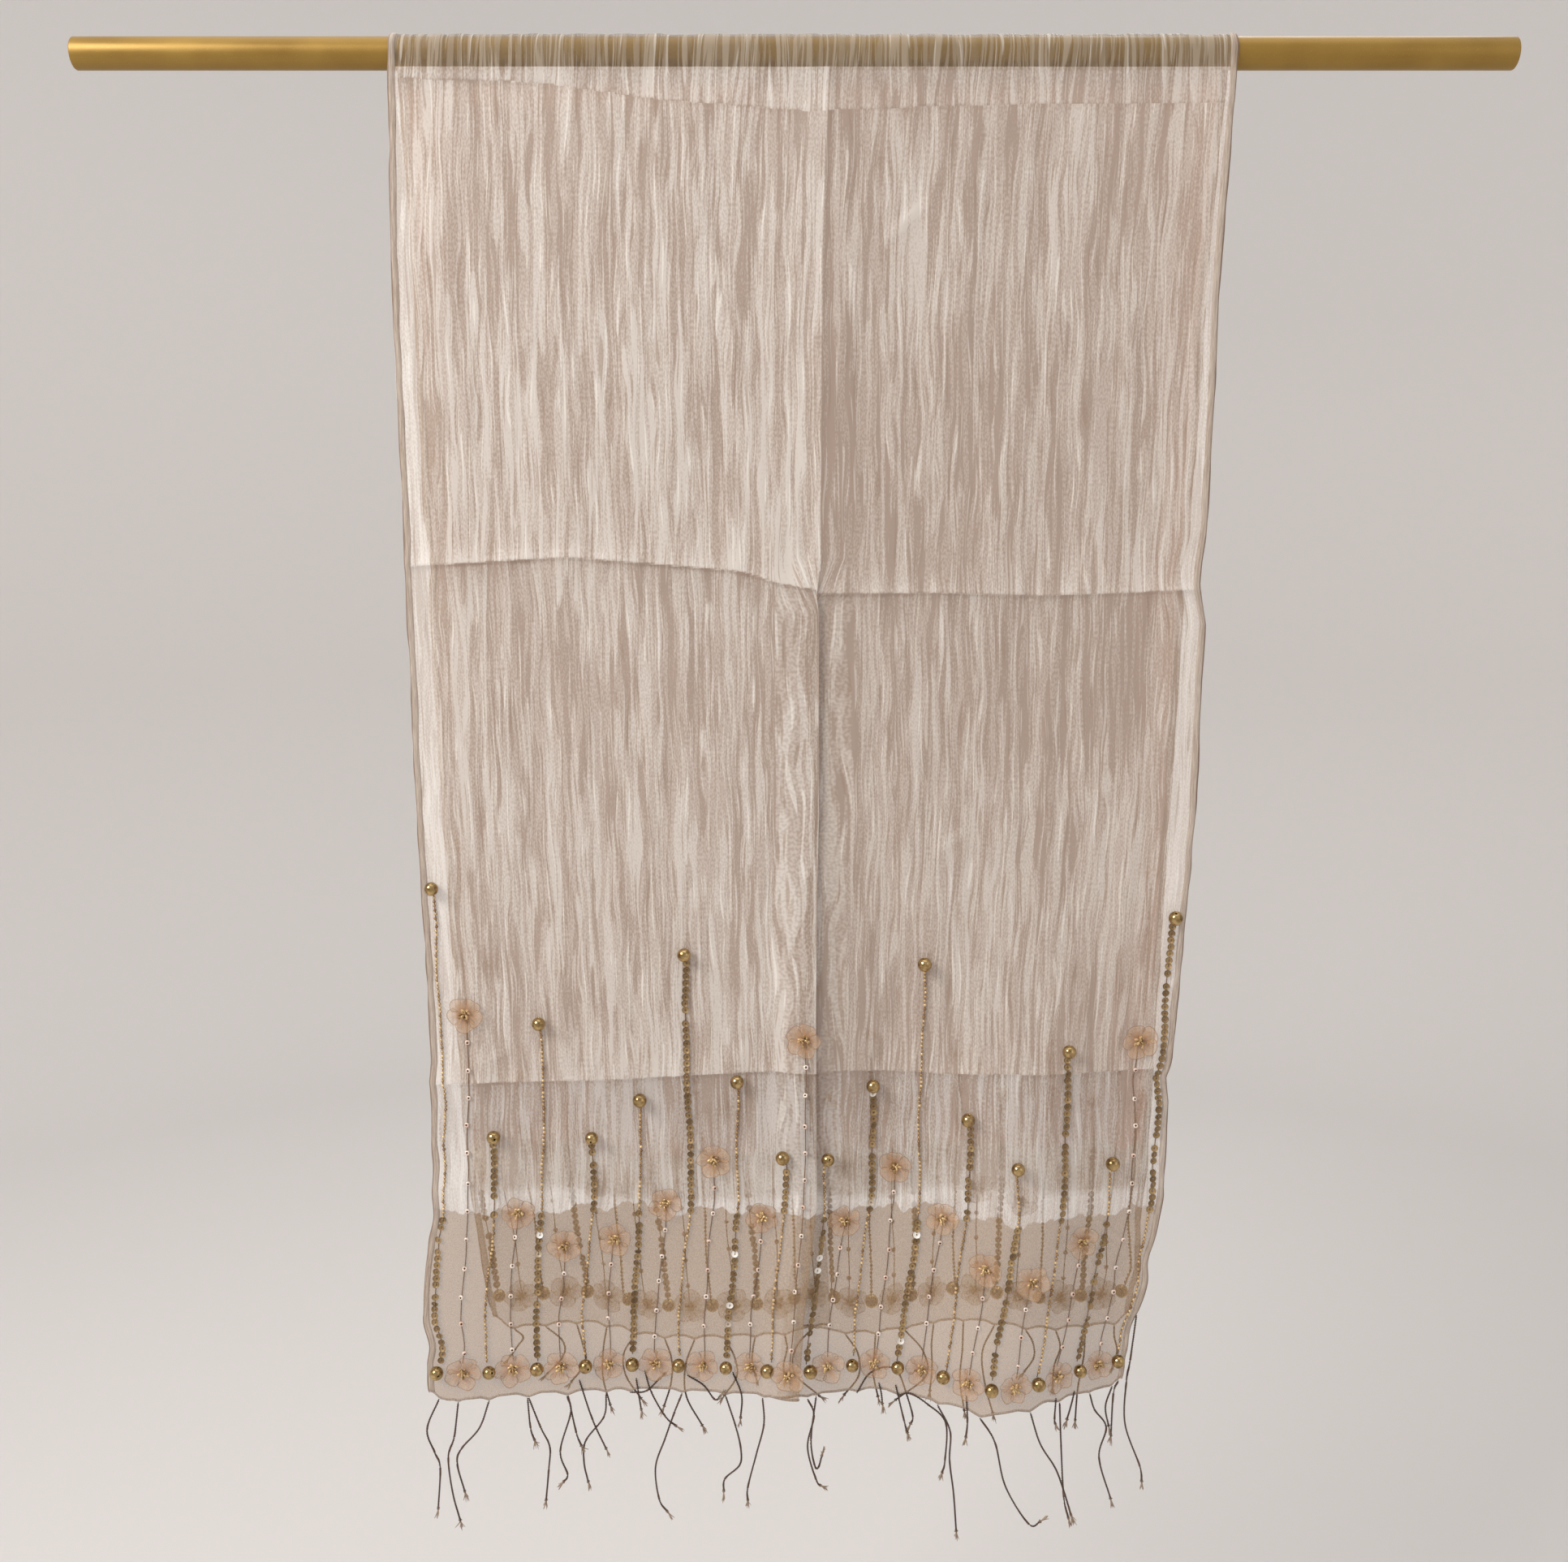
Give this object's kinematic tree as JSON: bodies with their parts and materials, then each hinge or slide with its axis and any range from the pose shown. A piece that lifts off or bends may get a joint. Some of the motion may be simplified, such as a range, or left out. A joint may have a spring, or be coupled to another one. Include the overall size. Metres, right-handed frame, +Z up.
{
  "type": "evening stole on a rail",
  "caption": "Sheer beige organza evening stole hung over a round gold rail, with beaded and sequinned stems, small organza flowers and loose threads along both ends.",
  "frame": {"origin": "middle of the rail's axis, where the stole is held up", "axes": "+X along the rail, the front fall faces -Y, +Z up"},
  "size_m": [1.016, 0.084, 1.1465],
  "materials": {
    "rail_gold": "satin gold paint",
    "organza": "sheer silk organza, crinkled above a plain border",
    "hem": "rolled hem of the same organza",
    "antique_gold": "antique gold beads and sequins",
    "petal": "peach organza petals with a beaded heart",
    "thread": "twisted brown thread with frayed tips"
  },
  "bodies": {
    "root": {"back_fall": "organza", "back_stems_01": "antique_gold", "back_stems_02": "antique_gold", "back_stems_03": "antique_gold", "back_stems_04": "antique_gold", "back_stems_05": "antique_gold", "back_stems_06": "antique_gold", "back_stems_07": "antique_gold", "back_stems_08": "antique_gold", "back_stems_09": "antique_gold", "back_stems_10": "antique_gold", "back_stems_11": "antique_gold", "back_stems_12": "antique_gold", "back_stems_13": "antique_gold", "back_stems_14": "antique_gold", "back_stems_15": "antique_gold", "back_stems_16": "antique_gold", "fringe_back": "thread", "fringe_front": "thread", "front_bead_stem_01": "antique_gold", "front_bead_stem_03": "antique_gold", "front_bead_stem_05": "antique_gold", "front_bead_stem_07": "antique_gold", "front_bead_stem_09": "antique_gold", "front_bead_stem_11": "antique_gold", "front_bead_stem_13": "antique_gold", "front_bead_stem_15": "antique_gold", "front_bead_stem_17": "antique_gold", "front_bead_stem_19": "antique_gold", "front_bead_stem_21": "antique_gold", "front_bead_stem_23": "antique_gold", "front_bead_stem_25": "antique_gold", "front_bead_stem_27": "antique_gold", "front_bead_stem_29": "antique_gold", "front_bead_stem_31": "antique_gold", "front_fall": "organza", "front_flower_stem_02": "petal", "front_flower_stem_04": "petal", "front_flower_stem_06": "petal", "front_flower_stem_08": "petal", "front_flower_stem_10": "petal", "front_flower_stem_12": "petal", "front_flower_stem_14": "petal", "front_flower_stem_16": "petal", "front_flower_stem_18": "petal", "front_flower_stem_20": "petal", "front_flower_stem_22": "petal", "front_flower_stem_24": "petal", "front_flower_stem_26": "petal", "front_flower_stem_28": "petal", "front_flower_stem_30": "petal", "hem_back": "hem", "hem_front": "hem", "hem_left": "hem", "hem_right": "hem", "over_rail": "organza", "rail": "rail_gold"}
  },
  "joints": []
}
